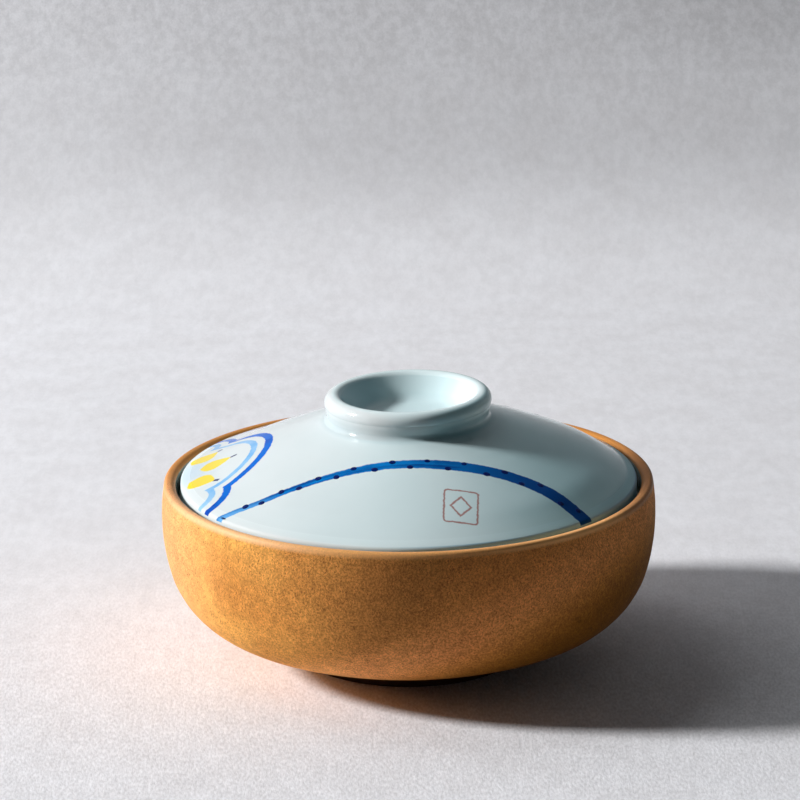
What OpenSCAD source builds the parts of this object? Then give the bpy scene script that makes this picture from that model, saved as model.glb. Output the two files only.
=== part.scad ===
// Donburi bowl with lid.
// A stoneware bowl on a low foot ring, with a ledge inside its rim, and a
// porcelain lid that drops onto the ledge and is lifted by its ring grip.
// Millimetres. The origin is the centre of the foot's underside, and +Z is up.

/* [Bowl] */
// Largest width of the bowl, across its belly
bowl_d = 170; // [150:1:190]
// Height from the table to the top of the lip
bowl_h = 63; // [57:0.5:72]
// Thickness of the wall at the lip
lip_t = 4.3; // [3.6:0.1:6]
// Rounding of the lip's outer edge
lip_edge_r = 1.4; // [0.8:0.1:1.7]
// Rounding of the lip's inner edge
lip_in_r = 1.8; // [0.8:0.1:2.1]
// Thickness of the wall below the ledge
wall_t = 5; // [3.5:0.1:7]
// Radius of the arc that draws the steep side
side_r = 70; // [60:1:85]
// Angle that the side's arc turns through below the widest place
side_turn = 15; // [10:0.5:20]
// Radius of the tighter arc between the side and the underside
belly_r = 31.5; // [26:0.5:38]
// Angle that the belly's arc turns through
belly_turn = 53; // [46:0.5:58]
// Radius of the shallow arc of the underside
under_r = 145; // [110:5:200]

/* [Base] */
// Thickness of the base inside the foot ring
base_t = 5; // [3.5:0.1:8]
// Radius of the soft corner round the floor inside
floor_r = 25; // [15:1:35]
// Width of the foot ring
foot_d = 78; // [66:1:92]
// Height of the foot ring where it leaves the underside
foot_h = 4.1; // [2.5:0.1:6]
// Thickness of the foot ring
foot_t = 4; // [3:0.1:7]
// Depth of the hollow inside the foot ring
foot_hollow = 3.2; // [2:0.1:5]
// Radius of the corner between the hollow and the foot ring
foot_fillet = 1.2; // [0.5:0.1:1.8]
// Rounding of the foot ring's edges
foot_round = 0.6; // [0.2:0.1:1]

/* [Ledge] */
// Depth of the ledge below the top of the lip
seat_depth = 8.2; // [6:0.1:11]
// Width of the ledge that carries the lid
seat_w = 6; // [4:0.1:8]
// Thickness of the ledge at its nose
seat_t = 3; // [2.2:0.1:5]
// Rounding of the ledge's nose and of its corner with the lip
seat_round = 1; // [0.4:0.1:1]

/* [Lid] */
// Clearance all round between the lid and the lip
lid_gap = 1.35; // [0.6:0.05:2]
// Thickness of the dome
lid_t = 4; // [3:0.1:5.5]
// Height of the dome above the ledge, where the ring grip stands
dome_h = 29.2; // [24:0.1:36]
// Radius of the dome's flat arc
dome_r = 445; // [250:5:900]
// Radius of the dome's rounded edge
edge_r = 6.5; // [4.5:0.1:8]
// Height of the lid's widest place above the ledge
edge_h = 4.2; // [3:0.1:6]
// Width of the ring that sits on the ledge
rim_w = 5; // [4:0.1:7]
// Rounding of that ring's lower edges
rim_round = 1.2; // [0.4:0.1:1.8]
// Radius of the corner between that ring and the dome's underside
rim_fillet = 3; // [1:0.1:4]

/* [Ring grip] */
// Width of the ring grip
grip_d = 57.4; // [48:0.1:68]
// Height of the ring grip above the dome
grip_h = 10.1; // [7.5:0.1:14]
// Thickness of the ring grip's rounded lip
grip_lip_t = 6.5; // [5:0.1:8]
// Angle that the grip's side leans in by, from its lip down to the dome
grip_taper = 13; // [4:1:20]
// Radius of the corner between that side and the dome
grip_fillet = 2; // [0.5:0.1:3.5]
// Depth of the dish inside the ring grip
dish_depth = 9; // [7.5:0.1:11]
// Steepness of the dish's side
dish_slope = 54; // [45:1:62]
// Radius of the corner between the dish's side and its level floor
dish_corner_r = 5.5; // [3:0.5:7]
// Thickness of the lid under the dish
dish_t = 4.5; // [3:0.1:6]
// Radius of the soft corner round the ceiling under the dish
ceiling_r = 20; // [10:1:30]

/* [Hidden] */
$fn = 180;
// Largest distance between an arc and the chords that draw it
chord_error = 0.02;

// Direction of an angle in an outline
function ray(angle) = [cos(angle), sin(angle)];

// Angle of the line from one point to another
function angle_to(from, to) = atan2(to[1] - from[1], to[0] - from[0]);

// Number of chords that draw an arc closely enough
function chords(radius, turn) = max(1, ceil(abs(turn) / (2 * acos(1 - chord_error / radius))));

// Points along an arc, from one angle to another
function arc(centre, radius, from, to) =
    let (count = chords(radius, to - from))
    [for (i = [0:count]) centre + radius * ray(from + (to - from) * i / count)];

// Point at two given distances from two points, on the right of the line between them
function meet(a, a_distance, b, b_distance) =
    let (
        line = b - a,
        apart = norm(line),
        along = (apart * apart + a_distance * a_distance - b_distance * b_distance) / (2 * apart),
        across = sqrt(a_distance * a_distance - along * along),
        way = line / apart
    )
    a + along * way + across * [way[1], -way[0]];

// How far outwards a centre lies from another, at a given distance and drop
function reach(distance, drop) = sqrt(distance * distance - drop * drop);

// The same outline without points that repeat the one before
function without_repeats(points) =
    [for (i = [0:len(points) - 1]) if (i == 0 || norm(points[i] - points[i - 1]) > chord_error / 10) points[i]];

// Angles of the joints between the wall's arcs, below the horizontal
under_angle = side_turn + belly_turn;

// Centres of the wall's arcs, level with the widest place
side_level = [bowl_d / 2 - side_r, 0];
belly_level = side_level + (side_r - belly_r) * ray(-side_turn);
under_level = belly_level - (under_r - belly_r) * ray(-under_angle);

// The wall stands on the foot ring, which sets the height of the widest place
foot_angle = acos((foot_d / 2 - under_level[0]) / under_r);
widest_z = foot_h + under_r * sin(foot_angle) - under_level[1];
side_c = side_level + [0, widest_z];
belly_c = belly_level + [0, widest_z];
under_c = under_level + [0, widest_z];

// The lip's tight outer edge, which the side's arc runs into
lip_z = bowl_h - lip_edge_r;
lip_angle = asin((lip_z - widest_z) / (side_r - lip_edge_r));
lip_c = side_c + (side_r - lip_edge_r) * ray(lip_angle);
mouth_r = lip_c[0] + lip_edge_r - lip_t;

// The ledge inside the rim
seat_z = bowl_h - seat_depth;
seat_in_r = mouth_r - seat_w;
nose_z = seat_z - seat_t;
ledge_root_z = nose_z - (bowl_d / 2 - wall_t - seat_in_r);
ledge_root_angle = asin((ledge_root_z - widest_z) / (side_r - wall_t));

// The base and its foot ring
foot_r = foot_d / 2;
foot_in_r = foot_r - foot_t;
floor_z = foot_hollow + base_t;
floor_c = [
    under_c[0] + reach(under_r - wall_t - floor_r, under_c[1] - floor_z - floor_r),
    floor_z + floor_r
];
floor_angle = angle_to(under_c, floor_c);

// The lid, measured up from the ledge that it sits on
lid_r = mouth_r - lid_gap;
rim_in_r = lid_r - rim_w;
edge_c = [lid_r - edge_r, edge_h];
grip_r = grip_d / 2;
dome_c = meet([grip_r, dome_h], dome_r, edge_c, dome_r - edge_r);
edge_angle = angle_to(dome_c, edge_c);

// The ring grip: a rounded lip, and a side that leans in down to the dome
ring_r = grip_lip_t / 2;
ring_top = dome_h + grip_h;
ring_c = [grip_r - ring_r, ring_top - ring_r];

// The corner at its foot touches both that side and the dome
side_way = -[sin(grip_taper), cos(grip_taper)];
from_dome = ring_c + (ring_r + grip_fillet) * ray(-grip_taper) - dome_c;
fall = -from_dome * side_way - reach(dome_r + grip_fillet, norm(from_dome - (from_dome * side_way) * side_way));
neck_c = dome_c + from_dome + fall * side_way;
neck_angle = angle_to(dome_c, neck_c);

// The dish: a level floor, a soft corner and a straight side up to the ring's lip
dish_z = ring_top - dish_depth;
dish_bend = dish_corner_r + ring_r;
dish_side = (dish_depth - dish_bend * (1 - cos(dish_slope))) / sin(dish_slope);
dish_r = ring_c[0] - dish_bend * sin(dish_slope) - dish_side * cos(dish_slope);

// The hollow underneath the dome
inner_r = dome_r - lid_t;
root_c = [
    rim_in_r - rim_fillet,
    dome_c[1] + reach(inner_r - rim_fillet, rim_in_r - rim_fillet - dome_c[0])
];
root_angle = angle_to(dome_c, root_c);
ceiling_z = dish_z - dish_t;
ceiling_c = [
    dome_c[0] + reach(inner_r - ceiling_r, ceiling_z - ceiling_r - dome_c[1]),
    ceiling_z - ceiling_r
];
ceiling_angle = angle_to(dome_c, ceiling_c);

// Half section of the bowl, from the middle of the hollow round to the middle of the floor
bowl_outline = without_repeats(concat(
    [[0, foot_hollow]],
    arc([foot_in_r - foot_fillet, foot_hollow - foot_fillet], foot_fillet, 90, 0),
    arc([foot_in_r + foot_round, foot_round], foot_round, 180, 270),
    arc([foot_r - foot_round, foot_round], foot_round, -90, 0),
    arc(under_c, under_r, -foot_angle, -under_angle),
    arc(belly_c, belly_r, -under_angle, -side_turn),
    arc(side_c, side_r, -side_turn, lip_angle),
    arc(lip_c, lip_edge_r, lip_angle, 90),
    arc([mouth_r + lip_in_r, bowl_h - lip_in_r], lip_in_r, 90, 180),
    arc([mouth_r - seat_round, seat_z + seat_round], seat_round, 0, -90),
    arc([seat_in_r + seat_round, seat_z - seat_round], seat_round, 90, 180),
    [[seat_in_r, nose_z]],
    arc(side_c, side_r - wall_t, ledge_root_angle, -side_turn),
    arc(belly_c, belly_r - wall_t, -side_turn, -under_angle),
    arc(under_c, under_r - wall_t, -under_angle, floor_angle),
    arc(floor_c, floor_r, floor_angle, -90),
    [[0, floor_z]]
));

// Half section of the lid, from the middle of the dish round to the middle of the ceiling
lid_outline = without_repeats(concat(
    [[0, dish_z]],
    arc([dish_r, dish_z + dish_corner_r], dish_corner_r, -90, dish_slope - 90),
    arc(ring_c, ring_r, dish_slope + 90, -grip_taper),
    arc(neck_c, grip_fillet, 180 - grip_taper, neck_angle + 180),
    arc(dome_c, dome_r, neck_angle, edge_angle),
    arc(edge_c, edge_r, edge_angle, 0),
    arc([lid_r - rim_round, rim_round], rim_round, 0, -90),
    arc([rim_in_r + rim_round, rim_round], rim_round, -90, -180),
    arc(root_c, rim_fillet, 0, root_angle),
    arc(dome_c, inner_r, root_angle, ceiling_angle),
    arc(ceiling_c, ceiling_r, ceiling_angle, 90),
    [[0, ceiling_z]]
));

// Bare stoneware bowl, one fired piece with its foot ring and ledge
module bowl() {
    color("peru")
        rotate_extrude()
            polygon(bowl_outline);
}

// Glazed porcelain lid, one fired piece with its ring grip
module lid() {
    color("lightcyan")
        translate([0, 0, seat_z])
            rotate_extrude()
                polygon(lid_outline);
}

bowl();
lid();
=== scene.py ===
"""Looks of a lidded donburi bowl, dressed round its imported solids.

The bowl and the lid are turned pieces, so one Geometry Nodes tree turns both of
them from half sections, with the small unevenness of work made by hand. A second
tree lays the dots of enamel along the painted stripes. All lengths are metres.
"""
import logging
import math
from dataclasses import dataclass, field, fields
from enum import Enum
from typing import NamedTuple, Union

import bpy
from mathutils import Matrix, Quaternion, Vector


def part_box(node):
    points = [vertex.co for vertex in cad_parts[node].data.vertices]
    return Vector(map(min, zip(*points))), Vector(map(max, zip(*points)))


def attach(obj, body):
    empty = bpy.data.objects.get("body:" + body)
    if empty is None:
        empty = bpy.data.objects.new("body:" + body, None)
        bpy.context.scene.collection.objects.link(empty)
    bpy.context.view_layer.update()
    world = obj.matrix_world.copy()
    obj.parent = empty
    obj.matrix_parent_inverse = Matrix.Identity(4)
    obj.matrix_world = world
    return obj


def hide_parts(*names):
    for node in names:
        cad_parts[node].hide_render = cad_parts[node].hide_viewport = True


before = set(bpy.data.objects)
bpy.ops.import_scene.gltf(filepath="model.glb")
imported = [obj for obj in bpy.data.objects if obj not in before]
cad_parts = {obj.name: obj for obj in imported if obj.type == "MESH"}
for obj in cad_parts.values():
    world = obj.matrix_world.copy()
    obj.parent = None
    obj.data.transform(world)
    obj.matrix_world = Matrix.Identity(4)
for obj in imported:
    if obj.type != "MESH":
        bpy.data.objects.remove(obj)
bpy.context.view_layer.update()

MM = 0.001

log = logging.getLogger("donburi")

Socket = bpy.types.NodeSocket
Colour = tuple[float, float, float]
Place = tuple[float, float]


class Zone(Enum):
    """How a stretch of a half section is finished, as the value its points carry."""

    BARE = 0.0
    GLAZED = 1.0


class Role(Enum):
    """The fields that a half section's points carry into the turned mesh."""

    GLAZE = "glaze"
    GIVE = "give"
    POOL = "pool"
    TRAVEL = "travel"


class SectionPoint(NamedTuple):
    """One point of a half section, with what the finishes read there."""

    radius: float
    height: float
    glaze: float
    give: float
    pool: float


def placed(name: str, data: bpy.types.ID) -> bpy.types.Object:
    """Puts a new object into the scene.

    Args:
        name: The object's name.
        data: The mesh, lamp or camera that it holds.

    Returns:
        The object.
    """
    made = bpy.data.objects.new(name, data)
    bpy.context.scene.collection.objects.link(made)
    return made


def ray(angle: float) -> tuple[float, float]:
    """Returns the unit direction of an angle in radians."""
    return math.cos(angle), math.sin(angle)


def angle_to(start: Place, end: Place) -> float:
    """Returns the angle in radians of the line from start to end."""
    return math.atan2(end[1] - start[1], end[0] - start[0])


def reach(distance: float, drop: float) -> float:
    """Returns how far outwards a centre lies from another, at a distance and drop."""
    return math.sqrt(distance * distance - drop * drop)


@dataclass
class Section:
    """A half section in the plane of radius and height, drawn from the axis round.

    Attributes:
        chord: Longest chord that an arc or a line is split into.
        turn: Largest angle that one chord of an arc may span.
        near: Distance at which two points count as one.
        points: The points drawn so far.
    """

    chord: float = 1.5 * MM
    turn: float = math.radians(9)
    near: float = 0.02 * MM
    points: list[SectionPoint] = field(default_factory=list)

    def put(
        self, radius: float, height: float, zone: Zone, give: float = 1.0, pool: float = 0.3
    ) -> None:
        """Adds a point, unless it repeats the one before.

        Args:
            radius: Distance from the axis.
            height: Height above the table.
            zone: Finish of the clay there.
            give: Share of the hand-made unevenness that the point takes.
            pool: How deep the glaze lies there, from 0 to 1.
        """
        if self.points:
            last = self.points[-1]
            if math.hypot(last.radius - radius, last.height - height) < self.near:
                return
        self.points.append(SectionPoint(radius, height, zone.value, give, pool))

    def line(
        self, end: Place, zone: Zone, give: float = 1.0, pool: float = 0.3
    ) -> None:
        """Draws a straight line from the last point, split into chords.

        Args:
            end: Where the line ends.
            zone: Finish of the clay there.
            give: Share of the hand-made unevenness that the line takes.
            pool: How deep the glaze lies there, from 0 to 1.
        """
        last = self.points[-1]
        start = (last.radius, last.height)
        length = math.dist(start, end)
        count = max(1, math.ceil(length / self.chord))
        for step in range(1, count + 1):
            share = step / count
            radius = start[0] + (end[0] - start[0]) * share
            height = start[1] + (end[1] - start[1]) * share
            self.put(radius, height, zone, give, pool)

    def arc(
        self,
        centre: Place,
        radius: float,
        start: float,
        end: float,
        zone: Zone,
        give: float = 1.0,
        pool: float = 0.3,
    ) -> None:
        """Draws an arc.

        Args:
            centre: The arc's centre.
            radius: The arc's radius.
            start: First angle, in radians.
            end: Last angle, in radians.
            zone: Finish of the clay there.
            give: Share of the hand-made unevenness that the arc takes.
            pool: How deep the glaze lies there, from 0 to 1.
        """
        span = abs(end - start)
        count = max(2, math.ceil(span / self.turn), math.ceil(span * radius / self.chord))
        for step in range(count + 1):
            angle = start + (end - start) * step / count
            across, up = ray(angle)
            self.put(centre[0] + radius * across, centre[1] + radius * up, zone, give, pool)

    def wire(self, name: str) -> bpy.types.Object:
        """Makes the section's vertices and edges, which carry its fields.

        Args:
            name: The object's name.

        Returns:
            The object.
        """
        mesh = bpy.data.meshes.new(name)
        places = [(p.radius, p.height, 0.0) for p in self.points]
        edges = [(i, i + 1) for i in range(len(places) - 1)]
        mesh.from_pydata(places, edges, [])
        travel = [0.0]
        for before, after in zip(places, places[1:]):
            travel.append(travel[-1] + math.dist(before, after))
        carried = {
            Role.GLAZE: [p.glaze for p in self.points],
            Role.GIVE: [p.give for p in self.points],
            Role.POOL: [p.pool for p in self.points],
            Role.TRAVEL: travel,
        }
        for role, values in carried.items():
            layer = mesh.attributes.new(role.value, "FLOAT", "POINT")
            layer.data.foreach_set("value", values)
        return placed(name, mesh)


class Term:
    """A value in a node tree. Arithmetic with it adds Math nodes to the tree."""

    def __init__(self, graph: "NodeGraph", socket: Socket) -> None:
        """Wraps a socket of the graph's tree."""
        self.graph = graph
        self.socket = socket

    def __add__(self, other: "Value") -> "Term":
        """Returns the sum."""
        return self.graph.math("ADD", self, other)

    def __sub__(self, other: "Value") -> "Term":
        """Returns the difference."""
        return self.graph.math("SUBTRACT", self, other)

    def __rsub__(self, other: float) -> "Term":
        """Returns what is left of a number."""
        return self.graph.math("SUBTRACT", other, self)

    def __mul__(self, other: "Value") -> "Term":
        """Returns the product."""
        return self.graph.math("MULTIPLY", self, other)

    def __truediv__(self, other: "Value") -> "Term":
        """Returns the quotient."""
        return self.graph.math("DIVIDE", self, other)

    def __pow__(self, other: float) -> "Term":
        """Returns the power."""
        return self.graph.math("POWER", self, other)

    def __abs__(self) -> "Term":
        """Returns the value without its sign."""
        return self.graph.math("ABSOLUTE", self)


Value = Union[float, Term]


class Ramp(NamedTuple):
    """A smooth step of a value, which runs from start at low to end at high."""

    low: Value
    high: Value
    start: float = 0.0
    end: float = 1.0


class Grain(NamedTuple):
    """A smooth noise: its features in a metre, its finer octaves and their strength."""

    scale: Value
    octaves: float = 2.0
    strength: float = 0.5


class NodeGraph:
    """Adds nodes to a tree and wires them, with sockets and terms passed as values."""

    def __init__(self, tree: bpy.types.NodeTree) -> None:
        """Wraps a shader tree or a Geometry Nodes tree."""
        self.tree = tree

    def feed(self, target: Socket, value: object) -> None:
        """Links a socket or a term into a target, or sets the target's own value.

        Args:
            target: The input to feed.
            value: What to feed it with.
        """
        if isinstance(value, Term):
            value = value.socket
        if isinstance(value, bpy.types.NodeSocket):
            self.tree.links.new(value, target)
        else:
            target.default_value = value

    def node(self, kind: str, settings: dict | None = None, **inputs: object) -> bpy.types.Node:
        """Adds a node.

        Args:
            kind: The node's type.
            settings: Properties of the node, such as its operation.
            **inputs: Values or sockets by input name, with underscores for spaces.

        Returns:
            The new node.
        """
        made = self.tree.nodes.new(kind)
        for key, setting in (settings or {}).items():
            setattr(made, key, setting)
        for key, value in inputs.items():
            self.feed(made.inputs[key.replace("_", " ")], value)
        return made

    def filled(self, kind: str, values: tuple, **settings: str) -> bpy.types.NodeOutputs:
        """Adds a node whose inputs take values in their order.

        Args:
            kind: The node's type.
            values: Values, sockets or terms, one for each of the first inputs.
            **settings: Properties of the node, such as its operation.

        Returns:
            The node's outputs.
        """
        made = self.node(kind, settings)
        for target, value in zip(made.inputs, values):
            self.feed(target, value)
        return made.outputs

    def math(self, operation: str, *values: Value) -> Term:
        """Returns the result of a Math node."""
        return Term(self, self.filled("ShaderNodeMath", values, operation=operation)[0])

    def most(self, first: Value, second: Value) -> Term:
        """Returns the larger value."""
        return self.math("MAXIMUM", first, second)

    def least(self, first: Value, second: Value) -> Term:
        """Returns the smaller value."""
        return self.math("MINIMUM", first, second)

    def vector(self, operation: str, *values: object) -> bpy.types.NodeOutputs:
        """Returns the outputs of a Vector Math node."""
        return self.filled("ShaderNodeVectorMath", values, operation=operation)

    def scaled(self, vector: Socket, factor: Value) -> Socket:
        """Returns a vector times a factor."""
        made = self.node("ShaderNodeVectorMath", {"operation": "SCALE"}, Vector=vector, Scale=factor)
        return made.outputs[0]

    def combine(self, x: Value, y: Value, z: Value) -> Socket:
        """Returns a vector made of three values."""
        return self.filled("ShaderNodeCombineXYZ", (x, y, z))[0]

    def split(self, vector: Socket) -> list[Term]:
        """Returns the three parts of a vector."""
        return [Term(self, part) for part in self.filled("ShaderNodeSeparateXYZ", (vector,))]

    def length(self, across: Value, along: Value) -> Term:
        """Returns the length of a vector with these two parts."""
        return Term(self, self.vector("LENGTH", self.combine(across, along, 0.0))["Value"])

    def noise(self, place: object, grain: Grain, dimensions: str = "3D") -> Term:
        """Adds a smooth noise.

        Args:
            place: A vector, or the value for one dimension.
            grain: How coarse the noise is.
            dimensions: 1D or 3D.

        Returns:
            The noise, from 0 to 1.
        """
        made = self.node(
            "ShaderNodeTexNoise", {"noise_dimensions": dimensions},
            Scale=grain.scale, Detail=grain.octaves, Roughness=grain.strength,
        )
        self.feed(made.inputs["W" if dimensions == "1D" else "Vector"], place)
        return Term(self, made.outputs[0])

    def band(self, value: Value, ramp: Ramp) -> Term:
        """Returns a value's smooth step."""
        made = self.filled("ShaderNodeMapRange", (value, *ramp), interpolation_type="SMOOTHSTEP")
        return Term(self, made[0])


class ShaderGraph(NodeGraph):
    """A material's node tree, with one Principled shader."""

    def __init__(self, name: str) -> None:
        """Makes an empty material with its shader and output.

        Args:
            name: The material's name.
        """
        self.material = bpy.data.materials.new(name)
        self.material.use_nodes = True
        super().__init__(self.material.node_tree)
        self.tree.nodes.clear()
        self.surface = self.node("ShaderNodeOutputMaterial").inputs[0]
        self.shader = self.node("ShaderNodeBsdfPrincipled")
        self.feed(self.surface, self.shader.outputs[0])
        coordinates = self.node("ShaderNodeTexCoord").outputs
        self.place = coordinates["Object"]
        self.x, self.y, self.z = self.split(self.place)
        self.facing = coordinates["Normal"]

    def field(self, role: Role) -> Term:
        """Returns a field that the turned mesh carries."""
        made = self.node("ShaderNodeAttribute", {"attribute_name": role.value})
        return Term(self, made.outputs["Fac"])

    def mix(self, share: Value, first: object, second: object, blend: str = "MIX") -> Socket:
        """Mixes two colours.

        Args:
            share: Share of the second colour.
            first: The first colour.
            second: The second colour.
            blend: How they mix.

        Returns:
            The mixed colour.
        """
        made = self.node("ShaderNodeMix", {"data_type": "RGBA", "blend_type": blend})
        self.feed(made.inputs[0], share)
        # A Mix node's sockets for numbers and vectors come before those for colours.
        for target, colour in zip(made.inputs[6:8], (first, second)):
            self.feed(target, (*colour, 1.0) if isinstance(colour, tuple) else colour)
        return made.outputs[2]

    def shade(self, colour: object, tone: Value, blue: Value | None = None) -> Socket:
        """Returns a colour times a tone, with a tone of its own for blue where one is given."""
        grey = self.combine(tone, tone, tone if blue is None else blue)
        return self.mix(1.0, colour, grey, "MULTIPLY")

    def stretched(self, scale: tuple[float, float, float]) -> Socket:
        """Returns Object coordinates scaled along X, Y and Z."""
        return self.node("ShaderNodeMapping", Vector=self.place, Scale=scale).outputs[0]

    def relief(self, height: Term, depth: float, strength: float = 1.0) -> Socket:
        """Returns a bumped normal for a height from 0 to 1 over a depth in metres."""
        return self.node("ShaderNodeBump", Strength=strength, Distance=depth, Height=height).outputs[0]

    def finish(
        self, colour: Socket, roughness: Value, normal: Socket, **uniform: float
    ) -> bpy.types.Material:
        """Feeds the shader.

        Args:
            colour: The base colour.
            roughness: The roughness.
            normal: The bumped normal.
            **uniform: Numbers set on the shader's own sockets, by name.

        Returns:
            The finished material.
        """
        inputs = self.shader.inputs
        for key, value in (("Base Color", colour), ("Roughness", roughness), ("Normal", normal)):
            self.feed(inputs[key], value)
        for key, value in uniform.items():
            inputs[key.replace("_", " ")].default_value = value
        return self.material


@dataclass(frozen=True)
class StonewareFinish:
    """Bare orange-brown stoneware, speckled with iron, glazed grey-green inside.

    A ramp ending in x, y or z says where a tone changes across the bowl, towards its
    back or upwards, and one ending in tone says how strongly a noise shows. Much of that
    is painted light and shade: the clay darkens towards the right, low on the right and
    in a band across the front's middle, pales to a painted highlight at the far left,
    carries painted highlights and painted shade on its lip, and its foot is painted dark
    as shade.
    """

    clay: Colour = (0.82, 0.395, 0.09)
    # This colour is laid in random patches of real smoke, and as painted shade on the back of the lip.
    smoked: Colour = (0.60, 0.243, 0.052)
    smoke: Grain = Grain(17, 3, 0.55)
    smoke_tone: Ramp = Ramp(0.38, 0.68)
    # Painted shade: the clay grows darker from the lit left towards the right.
    flashed: Colour = (0.525, 0.19, 0.048)
    flash_x: Ramp = Ramp(-56 * MM, -8 * MM, 0.0, 0.75)
    # Painted highlight: the clay is paler at the far left, where the light is strongest.
    blushed: Colour = (0.84, 0.37, 0.20)
    blush_x: Ramp = Ramp(-84 * MM, -58 * MM, 0.48, 0.0)
    # Painted shade: the clay darkens low down on the right, away from the light, and is lifted a
    # little in a band above that.
    soot_slope: float = 0.45
    soot: Ramp = Ramp(-24 * MM, 0.0, 1.0, 0.38)
    clear: Ramp = Ramp(-40 * MM, -28 * MM, 0.0, 0.25)
    clear_z: Ramp = Ramp(22 * MM, 36 * MM, 1.0, 0.6)
    # Painted shade: the clay is darker in an upright band across the middle of the front.
    core_middle: float = -9 * MM
    core_x: Ramp = Ramp(0.0, 36 * MM, 0.16, 0.0)
    core_z: Ramp = Ramp(16 * MM, 36 * MM)
    squash: tuple[float, float, float] = (1.0, 1.0, 0.8)
    grain: Grain = Grain(1500, 4, 0.8)
    grain_tone: Ramp = Ramp(0.25, 0.75, -0.58, 0.54)
    grain_x: Ramp = Ramp(-78 * MM, -30 * MM, 0.55, 1.0)
    blotch: Grain = Grain(260)
    blotch_tone: Ramp = Ramp(0.3, 0.7, 0.90, 1.10)
    speck: Colour = (0.20, 0.068, 0.018)
    specks: Grain = Grain(1900, 1.5)
    speck_limit: float = 0.645
    speck_tone: Ramp = Ramp(0.0, 0.05, 0.0, 0.75)
    crowd: Grain = Grain(55)
    crowd_tone: Ramp = Ramp(0.35, 0.7, 0.0, 0.045)
    wiped_z: Ramp = Ramp(-2.6 * MM, -1.0 * MM)
    # The wiped lip is paler; that paler colour is laid on as painted highlights along the front and
    # the right front, and paler still as a painted highlight on the lit left.
    polished: Colour = (0.95, 0.49, 0.185)
    polish_x: Ramp = Ramp(20 * MM, 60 * MM, 0.0, 0.45)
    polish_right_y: Ramp = Ramp(-70 * MM, -20 * MM, 1.0, 0.0)
    polish_y: Ramp = Ramp(-60 * MM, 10 * MM, 0.6, 0.05)
    bright_lip: Colour = (0.95, 0.58, 0.33)
    bright_x: Ramp = Ramp(-56 * MM, -20 * MM)
    # Painted shade: the lip grows darker towards the back.
    smoked_lip_y: Ramp = Ramp(-30 * MM, 20 * MM, 0.0, 0.9)
    # Painted shade on the lip at the right, between its front and its back.
    dark_lip: Colour = (0.26, 0.11, 0.04)
    dark_x: Ramp = Ramp(58 * MM, 74 * MM)
    dark_front_y: Ramp = Ramp(-55 * MM, -35 * MM)
    dark_back_y: Ramp = Ramp(20 * MM, 45 * MM, 0.6, 0.0)
    # Painted shade: the foot ring is near black, as if in the shadow under the bowl.
    foot: Colour = (0.06, 0.027, 0.013)
    foot_z: Ramp = Ramp(3.9 * MM, 4.5 * MM, 1.0, 0.0)
    inner_glaze: Colour = (0.27, 0.33, 0.29)
    glaze_edge: Colour = (0.16, 0.075, 0.035)
    wander: Grain = Grain(120)
    wander_share: float = 0.5
    glaze_line: Ramp = Ramp(0.42, 0.58)
    edge_line: Ramp = Ramp(0.1, 0.5, 0.0, 0.9)
    glaze_depth: Grain = Grain(60)
    glaze_tone: Ramp = Ramp(0.3, 0.7, 0.85, 1.15)
    clay_rough: Ramp = Ramp(0.0, 1.2, 0.78, 0.46)
    grain_rough: float = 0.4
    glaze_rough: float = 0.1
    dust: Grain = Grain(3200, 2, 0.6)
    dust_share: float = 0.3
    wiped_share: float = 0.65
    tooth_depth: float = 0.13 * MM
    tooth_strength: float = 0.6
    refraction: float = 1.45
    clay_gloss: float = 0.14
    glaze_gloss: float = 0.5

    def fired(self, graph: ShaderGraph, grain: Term) -> Socket:
        """Colours the bare clay, from its painted shade and highlights down to its specks.

        Args:
            graph: The material's tree.
            grain: The clay's fine grain.

        Returns:
            The clay's colour.
        """
        x, z = graph.x, graph.z
        smoke = graph.band(graph.noise(graph.place, self.smoke), self.smoke_tone)
        clay = graph.mix(smoke, self.clay, self.smoked)
        # Painted shade: the clay grows darker from the lit left towards the right.
        clay = graph.mix(graph.band(x, self.flash_x), clay, self.flashed)
        # Painted highlight: the clay is paler at the far left, where the light is strongest.
        clay = graph.mix(graph.band(x, self.blush_x), clay, self.blushed)
        # Painted shade: the clay darkens low down on the right, away from the light, and is lifted a
        # little in a band above that.
        low = x * self.soot_slope - z
        soot = graph.band(low, self.soot)
        soot = soot * (graph.band(low, self.clear) * graph.band(z, self.clear_z) + 1.0)
        clay = graph.shade(clay, soot, soot * soot)
        # Painted shade: the clay is darker in an upright band across the middle of the front.
        middle_shade = graph.band(abs(x - self.core_middle), self.core_x) * graph.band(z, self.core_z)
        clay = graph.shade(clay, 1.0 - middle_shade)
        tone = graph.band(grain, self.grain_tone) * graph.band(x, self.grain_x) + 1.0
        blotch = graph.band(graph.noise(graph.place, self.blotch), self.blotch_tone)
        clay = graph.shade(clay, tone * blotch)
        crowd = graph.band(graph.noise(graph.place, self.crowd), self.crowd_tone)
        specks = graph.noise(graph.stretched(self.squash), self.specks) + crowd
        return graph.mix(graph.band(specks - self.speck_limit, self.speck_tone), clay, self.speck)

    def rubbed(self, graph: ShaderGraph, clay: Socket, wiped: Term) -> Socket:
        """Colours the lip, which was wiped smooth, with painted highlights and painted shade on it.

        Args:
            graph: The material's tree.
            clay: Colour of the clay.
            wiped: How smooth the clay was wiped, from 0 to 1.

        Returns:
            The clay's colour with that of the lip.
        """
        x, y = graph.x, graph.y
        # Painted highlights on the wiped lip: along the front, the right front and, paler, the lit
        # left.
        right = graph.band(x, self.polish_x) * graph.band(y, self.polish_right_y)
        lip_highlight = right + graph.band(y, self.polish_y)
        lip = graph.mix(graph.band(x, self.bright_x), self.bright_lip, self.polished)
        clay = graph.mix(wiped * lip_highlight, clay, lip)
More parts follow.
